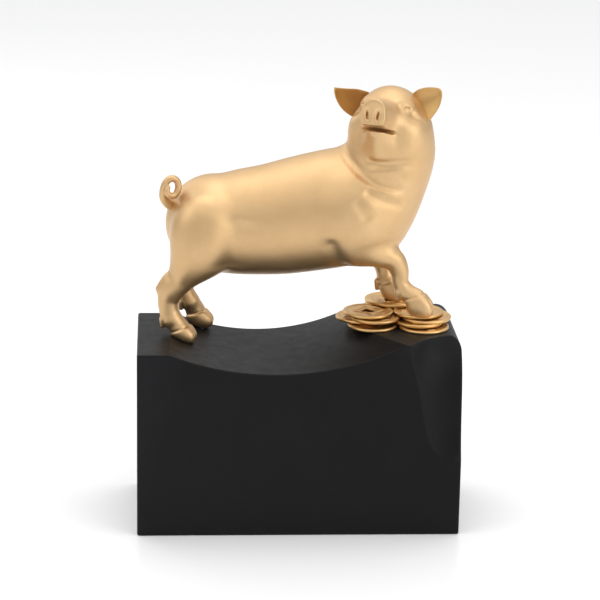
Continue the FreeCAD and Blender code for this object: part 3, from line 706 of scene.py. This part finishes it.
# how far a forefoot sinks below the rim of its dished coin
SETTLE = 0.35
GROUNDS = {leg: ground_under(*HOOVES[leg][0][:2]) for leg in ("hind_leg_right", "hind_leg_left")}
for leg, coin in (("front_leg_right", "coin_right_4"), ("front_leg_left", "coin_top")):
    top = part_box(coin)[1].z / MM - SETTLE
    GROUNDS[leg] = ((*HOOVES[leg][0][:2], top), (0.0, 0.0, 1.0))

# ---------------------------------------------------------------- where the castings part
SEAM_POINT = vec(22, 10, 196)
SEAM_NORMAL = unit((0.815, -0.215, 0.537))
# how far each casting runs past its seam, inside its neighbour
LAP = 0.6


def head_zone(P):
    """Negative on the head's side of the seam round the neck."""
    return (SEAM_POINT - P) @ SEAM_NORMAL


def leg_zone(P, leg):
    """Negative where a limb is, below its seam at the hip or shoulder and on its own side of the pig."""
    rows = LEG_ROWS[leg]
    reach = [(x, y, z, r + 5) for x, y, z, r in rows] + [(*HOOVES[leg][0], 12.0)]
    near = local(P, [r[:3] for r in reach], 30, lambda Q: chain(Q, reach, 1))
    hip = vec(*rows[1][:3])
    below = (P - hip) @ unit(hip - vec(*rows[3][:3]))
    own_side = (P[:, 1] - mid(P[:, 0])) * (1 if leg.endswith("right") else -1)
    return np.maximum(np.maximum(near, below), own_side)


def whole(P):
    """The whole pig as it stands on this plinth."""
    return pig_field(P, GROUNDS)


def body_zone(P):
    """Negative where the body casting is: neither the head's side nor a limb's."""
    zone = -head_zone(P)
    for leg in LEG_ROWS:
        zone = np.maximum(zone, -leg_zone(P, leg))
    return zone - LAP


# grid steps, then the corners of the grids, all in millimetres
BODY_STEP, HEAD_STEP, LEG_STEP, TAIL_STEP = 0.64, 0.44, 0.38, 0.3
BODY_BOX = ((-72, -22, 118), (64, 44, 203))
HEAD_BOX = ((18, -30, 146), (76, 32, 226))
TAIL_BOX = ((-76, -3, 152), (-54, 18, 180))
LEG_REACH = np.array((18, 16, 14))

body = cast("body_casting", whole, body_zone, *BODY_BOX, BODY_STEP)
finished(body, "pig_body", PIG_GILT)
skull = cast("head_casting", whole, lambda P: head_zone(P) - LAP, *HEAD_BOX, HEAD_STEP)
finished(skull, "pig_head", PIG_GILT)
for leg, rows in LEG_ROWS.items():
    spots = np.array([r[:3] for r in rows[1:]] + [HOOVES[leg][0]])
    low, high = spots.min(axis=0) - LEG_REACH, spots.max(axis=0) + LEG_REACH
    limb = cast(leg + "_casting", whole, lambda P: leg_zone(P, leg) - LAP, low, high, LEG_STEP)
    finished(limb, leg, PIG_GILT)


# ---------------------------------------------------------------- ears
def leaf(name, upper, lower, cup, depth, thick, inward):
    """A cupped ear between two edges that run from the skull to the tip.

    cup: direction in which the middle is pushed back. inward: how far the root runs into the skull.
    """
    across, along = 14, 22
    upper, lower = smooth_rows(upper, 8), smooth_rows(lower, 8)
    at = np.linspace(0, 1, along)
    edges = []
    for edge in (upper, lower):
        knots = np.linspace(0, 1, len(edge))
        edges.append(np.stack([np.interp(at, knots, edge[:, i]) for i in range(3)], axis=1))
    rows = np.zeros((along, across + 1, 3))
    for j in range(across + 1):
        v = j / across
        sag = (1 - (2 * v - 1) ** 2) * depth * (1 - at ** 1.6)
        rows[:, j] = edges[0] * (1 - v) + edges[1] * v + sag[:, None] * np.asarray(cup)
    root = rows[0] + (rows[0] - rows[1]) / np.linalg.norm((rows[0] - rows[1]).mean(axis=0)) * inward
    rows = np.concatenate([root[None], rows])
    du, dv = np.gradient(rows, axis=0), np.gradient(rows, axis=1)
    normals = np.cross(du, dv)
    normals /= np.linalg.norm(normals, axis=2, keepdims=True) + 1e-9
    v = np.linspace(0, 1, across + 1)
    edge = np.sqrt(np.clip(1 - (2 * v - 1) ** 4, 0.05, 1))
    taper = np.linspace(1.25, 0.55, along + 1)
    half = thick / 2 * edge[None, :] * taper[:, None]
    half[-1] *= 0.5
    count_u, count_v = rows.shape[:2]
    points = np.concatenate([(rows + normals * half[:, :, None]).reshape(-1, 3),
                             (rows - normals * half[:, :, None]).reshape(-1, 3)])
    other = count_u * count_v
    faces = []
    for i in range(count_u - 1):
        for j in range(count_v - 1):
            a, b = i * count_v + j, (i + 1) * count_v + j
            faces.append((a, b, b + 1, a + 1))
            faces.append((a + other, a + 1 + other, b + 1 + other, b + other))
    rim = ([j for j in range(count_v)] + [i * count_v + count_v - 1 for i in range(1, count_u)]
           + [(count_u - 1) * count_v + j for j in range(count_v - 2, -1, -1)]
           + [i * count_v for i in range(count_u - 2, 0, -1)])
    for a, b in zip(rim, rim[1:] + rim[:1]):
        faces.append((a, b, b + other, a + other))
    piece = mesh_object(name, points, faces)
    smooth = piece.modifiers.new("smooth", "SUBSURF")
    smooth.levels = smooth.render_levels = 2
    return piece


EARS = {
    # upper edge and lower edge from the skull to the tip, and the way the hollow is pushed back
    "ear_right": (
        [
            (32.0, 13.5, 218.6), (28.5, 13.6, 219.4), (23.4, 13.5, 219.6), (19.4, 13.0, 220.0),
            (17.1, 12.6, 220.4),
        ],
        [
            (28.2, 17.5, 203.6), (23.6, 16.4, 206.6), (20.2, 15.2, 210.4), (18.0, 13.9, 214.8),
            (17.2, 13.0, 218.4),
        ],
        (0.25, 0.9, -0.2), 4.2,
    ),
    "ear_left": (
        [
            (55.6, 2.6, 219.4), (58.2, 1.4, 221.6), (62.0, 0.8, 222.8), (66.0, 0.3, 222.9),
            (68.8, 0.2, 222.4),
        ],
        [
            (62.8, -3.6, 205.6), (65.8, -2.6, 209.0), (68.6, -1.2, 213.0), (70.0, -0.2, 217.6),
            (70.0, 0.1, 221.0),
        ],
        (-0.15, 0.95, -0.2), 3.8,
    ),
}
# an ear's thickness, and how far its root runs into the skull
EAR_THICK, EAR_ROOT = 1.7, 4.5
# the ears take the darker gilt, which paints shade into their cupped insides
for ear, (upper, lower, cup, depth) in EARS.items():
    finished(leaf(ear + "_casting", upper, lower, cup, depth, EAR_THICK, EAR_ROOT), ear, EAR_PAINTED_SHADE_GILT)

# ---------------------------------------------------------------- tail
# one curl, from inside the rump to the tip: x, y, z and radius
TAIL = [
    (-60.0, 12.0, 158.5, 3.4), (-65.0, 9.0, 160.5, 2.7), (-68.2, 6.5, 164.5, 2.1), (-68.3, 5.5, 169.5, 1.85),
    (-66.5, 5.0, 173.6, 1.8), (-63.6, 5.5, 174.9, 1.75), (-61.2, 6.5, 172.6, 1.75), (-61.0, 6.0, 169.0, 1.75),
    (-62.8, 5.0, 166.2, 1.7), (-65.2, 3.8, 166.4, 1.65), (-66.6, 3.2, 168.6, 1.5), (-66.0, 3.4, 170.6, 1.2),
]
curl = cast("tail_casting", lambda P: chain(P, TAIL, 6), None, *TAIL_BOX, TAIL_STEP)
finished(curl, "tail", PIG_GILT)


# ---------------------------------------------------------------- coins
# a coin's square eye and the raised frame round it: half their width, then how far the corners reach
COIN_EYE, COIN_EYE_CORNER, COIN_FRAME, COIN_FRAME_CORNER = 3.1, 1.55, 4.9, 2.5
COIN_RIM, COIN_FRAME_HALF = 2.0, 0.75
COIN_MARKS, COIN_MARKS_HALF = 8.3, 1.4
COIN_RIM_HIGH, COIN_MARK_HIGH, COIN_EYE_ROUND = 0.42, 0.24, 0.25
COIN_AROUND, COIN_RINGS = 128, 30


def coin_height(r, angle, corner, eye, radius, thick):
    """Half the coin's thickness at each point: rim, frame and four plain marks over a sunk field."""
    from_eye, from_edge = r - eye[None, :], radius - r
    rim = ramp(COIN_RIM - from_edge, 0.0, 0.5)
    star = COIN_FRAME + COIN_FRAME_CORNER * corner ** 1.7
    raised_frame = ramp(COIN_FRAME_HALF - np.abs(r - star[None, :]), 0.0, 0.45)
    marks = ramp(-np.cos(4 * angle)[None, :], 0.35, 0.75)
    marks = marks * ramp(COIN_MARKS_HALF - np.abs(r - COIN_MARKS), 0.2, 0.8)
    height = thick / 2 - COIN_RIM_HIGH + COIN_RIM_HIGH * np.maximum(rim, raised_frame)
    height = height + COIN_MARK_HIGH * marks
    outer_round = COIN_RIM_HIGH * ramp(0.6 - from_edge, 0, 0.6) ** 2
    inner_round = COIN_EYE_ROUND * ramp(0.35 - from_eye, 0, 0.35) ** 2
    return height - outer_round - inner_round


def coin_mesh(name, node, turn, tilt):
    """A cash coin over its CAD node: a rounded rim, a curved-sided square eye and low plain relief."""
    low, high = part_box(node)
    centre = (low + high) / 2 / MM
    radius, thick = (high.x - low.x) / 2 / MM, (high.z - low.z) / MM
    around, rings = COIN_AROUND, COIN_RINGS
    angle = np.linspace(0, 2 * math.pi, around, endpoint=False)
    corner = np.abs(((angle / (math.pi / 2)) % 1) - 0.5) * 2
    eye = COIN_EYE + COIN_EYE_CORNER * corner ** 2.2
    s = np.linspace(0, 1, rings)
    r = eye[None, :] + (radius - eye[None, :]) * s[:, None]
    height = coin_height(r, angle, corner, eye, radius, thick)
    across = np.stack([r * np.cos(angle), r * np.sin(angle)], axis=2)
    points = np.concatenate([np.concatenate([across, height[:, :, None]], axis=2).reshape(-1, 3),
                             np.concatenate([across, -height[:, :, None]], axis=2).reshape(-1, 3)])
    other = rings * around
    faces = []
    for i in range(rings - 1):
        for j in range(around):
            k = (j + 1) % around
            a, b, c, d = i * around + j, i * around + k, (i + 1) * around + k, (i + 1) * around + j
            faces.append((d, c, b, a))
            faces.append((a + other, b + other, c + other, d + other))
    last = (rings - 1) * around
    for j in range(around):
        k = (j + 1) % around
        faces.append((last + j, last + j + other, last + k + other, last + k))
        faces.append((j, k, k + other, j + other))
    turned = Matrix.Rotation(math.radians(tilt), 3, "X") @ Matrix.Rotation(math.radians(turn), 3, "Z")
    points = points @ np.array(turned).T + np.array(centre)
    piece = mesh_object(name, points, faces)
    return finished(piece, node, COIN_GILT)


COIN_TURNS = {
    "coin_left": (20, 50, 75, 8), "coin_right": (65, 30, 12, 48), "coin_rear": (40, 15, 70, 25),
    "coin_top": (55,),
}
COIN_TILTS = (0.9, -0.8, 0.6, -0.5)

for stack, turns in COIN_TURNS.items():
    for i, turn in enumerate(turns):
        node = stack if stack == "coin_top" else f"{stack}_{i + 1}"
        coin_mesh(node + "_struck", node, turn, COIN_TILTS[i])

# ---------------------------------------------------------------- floor, lights and camera
FLOOR_HALF = 6.0
floor_corners = [(x * FLOOR_HALF, y * FLOOR_HALF, 0) for x, y in ((-1, -1), (1, -1), (1, 1), (-1, 1))]
floor_mesh = bpy.data.meshes.new("floor")
floor_mesh.from_pydata(floor_corners, [], [(0, 1, 2, 3)])
floor = bpy.data.objects.new("floor", floor_mesh)
bpy.context.scene.collection.objects.link(floor)
floor_material, _, floor_shader = nodes_of("pale_floor")
floor_shader.inputs["Base Color"].default_value = (0.93, 0.93, 0.94, 1)
floor_shader.inputs["Roughness"].default_value = 0.22
floor_shader.inputs["Specular IOR Level"].default_value = 0.35
floor_mesh.materials.append(floor_material)


def soft_box(name, place, aim, wide, high, power, colour=(1.0, 1.0, 1.0)):
    """A rectangular studio light, power in watts."""
    light = bpy.data.lights.new(name, "AREA")
    light.shape = "RECTANGLE"
    light.size, light.size_y = wide, high
    light.energy = power
    light.color = colour
    made = bpy.data.objects.new(name, light)
    made.location = place
    made.rotation_euler = (Vector(aim) - Vector(place)).to_track_quat("-Z", "Y").to_euler()
    bpy.context.scene.collection.objects.link(made)
    return made


AIM = (0.0, 0.0, 0.14)
soft_box("key_right", (1.10, -0.80, 0.50), AIM, 0.9, 0.8, 4.6)
soft_box("fill_left", (-1.00, -0.45, 0.80), AIM, 0.7, 0.7, 1.6)
soft_box("top", (0.0, 0.15, 1.5), AIM, 1.2, 1.0, 4.0)
soft_box("back_left", (-0.7, 1.0, 0.6), AIM, 0.6, 0.8, 1.2)

# the sky round the studio: dimmer at the horizon than overhead
SKY_LOW, SKY_HIGH, SKY_STRENGTH = 0.36, 1.0, 1.36


def studio_sky(world):
    """A plain sky that only changes with height."""
    world.use_nodes = True
    tree = world.node_tree
    way = tree.nodes.new("ShaderNodeTexCoord")
    parts = tree.nodes.new("ShaderNodeSeparateXYZ")
    tree.links.new(way.outputs["Generated"], parts.inputs["Vector"])
    sky = shades(tree, parts.outputs["Z"], [(0.0, SKY_LOW), (1.0, SKY_HIGH)])
    tree.links.new(sky, tree.nodes["Background"].inputs["Color"])
    tree.nodes["Background"].inputs["Strength"].default_value = SKY_STRENGTH


bpy.context.scene.world = bpy.context.scene.world or bpy.data.worlds.new("studio")
studio_sky(bpy.context.scene.world)
bpy.context.scene.view_settings.view_transform = "Standard"

CAMERA_DISTANCE, CAMERA_RISE, CAMERA_TURN, CAMERA_ROLL = 1.2, 16.0, -3.5, 1.0
CAMERA_LENS, CAMERA_SENSOR = 141.66, 36.0
CAMERA_TARGET = Vector((0.001, 0.0, 0.113))
rise, turn = math.radians(CAMERA_RISE), math.radians(CAMERA_TURN)
back = Vector((math.sin(turn) * math.cos(rise), -math.cos(turn) * math.cos(rise), math.sin(rise)))
camera = bpy.data.objects.new("camera", bpy.data.cameras.new("camera"))
bpy.context.scene.collection.objects.link(camera)
camera.data.sensor_width = CAMERA_SENSOR
camera.data.lens = CAMERA_LENS
camera.location = CAMERA_TARGET + back * CAMERA_DISTANCE
facing = (-back).to_track_quat("-Z", "Y").to_matrix().to_4x4()
camera.matrix_world = (Matrix.Translation(camera.location) @ facing
                       @ Matrix.Rotation(math.radians(CAMERA_ROLL), 4, "Z"))
bpy.context.scene.camera = camera

bpy.context.view_layer.update()
